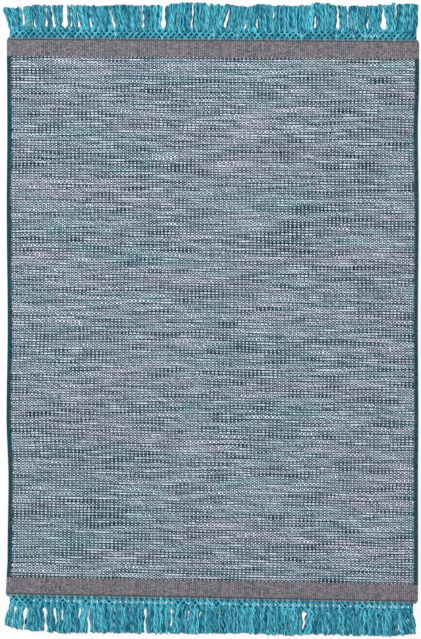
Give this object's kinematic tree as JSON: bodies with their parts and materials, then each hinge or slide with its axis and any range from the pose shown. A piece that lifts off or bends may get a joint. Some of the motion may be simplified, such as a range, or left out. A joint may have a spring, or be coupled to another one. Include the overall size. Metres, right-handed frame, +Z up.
{
  "type": "flat-woven rug",
  "caption": "Rectangular flat-woven rug with a mottled field, plain hemmed ends, overcast long edges and a knotted cord fringe at each end.",
  "frame": {"origin": "under the middle of the rug, on the floor", "axes": "+X across the rug to the right, +Y along its length towards the top fringe, +Z up"},
  "size_m": [0.6068, 0.9236, 0.0056],
  "materials": {
    "field_weave": "weft-faced plain weave of white and dark teal cotton yarns, mottled, with plain taupe hems, matt",
    "selvedge_yarn": "overcast dark teal cotton yarn, matt",
    "fringe_cord": "twisted teal cotton cord, knotted in a heading, matt"
  },
  "bodies": {
    "root": {"woven_cloth": "field_weave", "selvedge_left": "selvedge_yarn", "selvedge_right": "selvedge_yarn", "fringe_top": "fringe_cord", "fringe_bottom": "fringe_cord"}
  },
  "joints": []
}
